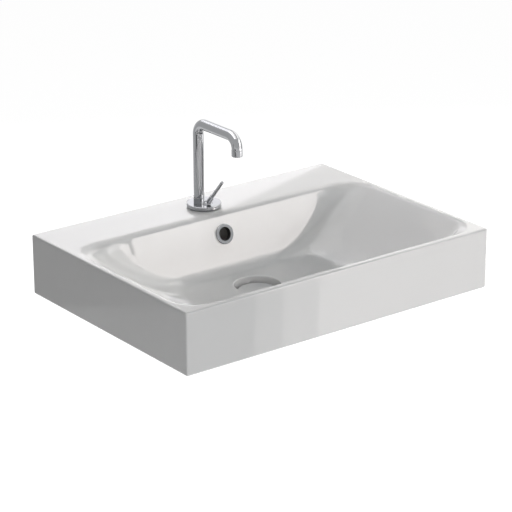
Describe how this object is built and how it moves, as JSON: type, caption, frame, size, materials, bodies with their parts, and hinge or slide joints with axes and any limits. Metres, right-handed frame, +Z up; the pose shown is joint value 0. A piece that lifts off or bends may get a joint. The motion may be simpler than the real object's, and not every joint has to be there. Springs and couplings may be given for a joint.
{
  "type": "washbasin",
  "caption": "Wall-hung rectangular ceramic washbasin with a wide tap ledge, a sloping bowl, an overflow ring, a push-open waste and a joystick mixer with a swivelling bent-tube spout.",
  "frame": {"origin": "middle of the two wall-fixing holes, on the flat back face", "axes": "+X along the wall, +Y out of the back face into the wall (the front is towards -Y), +Z up"},
  "size_m": [0.6, 0.425, 0.3505],
  "materials": {
    "glazed_ceramic": "white gloss glaze",
    "chrome": "polished chrome plate",
    "raw_brass": "machined, unplated",
    "black_rubber": "matt moulded",
    "white_plastic": "moulded",
    "stainless_steel": "turned or stamped",
    "spring_steel": "drawn wire"
  },
  "bodies": {
    "basin": {"basin_body": "glazed_ceramic", "overflow_ring": "chrome", "waste_body": "chrome", "waste_top_seal": "black_rubber", "waste_lower_seal": "black_rubber", "waste_slip_washer": "white_plastic", "waste_nut": "raw_brass", "latch_housing": "raw_brass", "plug_spring": "spring_steel", "mixer_plate": "chrome", "plate_gasket": "black_rubber", "shank": "raw_brass", "rubber_washer": "black_rubber", "steel_washer": "stainless_steel", "shank_nut": "raw_brass", "cartridge": "white_plastic", "cartridge_nut": "raw_brass", "spout_collar": "chrome", "spout_screw": "stainless_steel"},
    "spout": {"spout_spigot": "raw_brass", "spout_seals": "black_rubber", "spout_tube": "chrome", "aerator_housing": "chrome", "aerator_seal": "black_rubber", "aerator_insert": "white_plastic"},
    "lever_mount": {"turn_ring": "chrome"},
    "lever": {"lever_ball": "chrome", "lever_pivot": "stainless_steel", "lever_foot": "chrome", "lever_rod": "chrome"},
    "plug": {"plug_cap": "glazed_ceramic", "plug_seal": "black_rubber", "plug_stem": "stainless_steel"}
  },
  "joints": [
    {"name": "spout_swivel", "type": "hinge", "parent": "basin", "child": "spout", "pos_m": [0, -0.043, 0.0495], "axis": [0, 0, 1], "range_deg": [-60, 60]},
    {"name": "lever_turn", "type": "hinge", "parent": "basin", "child": "lever_mount", "pos_m": [0, -0.065, 0.0472], "axis": [0, 0, 1], "range_deg": [-45, 45]},
    {"name": "lever_lift", "type": "hinge", "parent": "lever_mount", "child": "lever", "pos_m": [0, -0.065, 0.0472], "axis": [-1, 0, 0], "range_deg": [0, 25]},
    {"name": "plug_pop", "type": "slide", "parent": "basin", "child": "plug", "axis": [0, 0, 1], "range_m": [0, 0.008], "deforming": ["plug_spring"]}
  ]
}
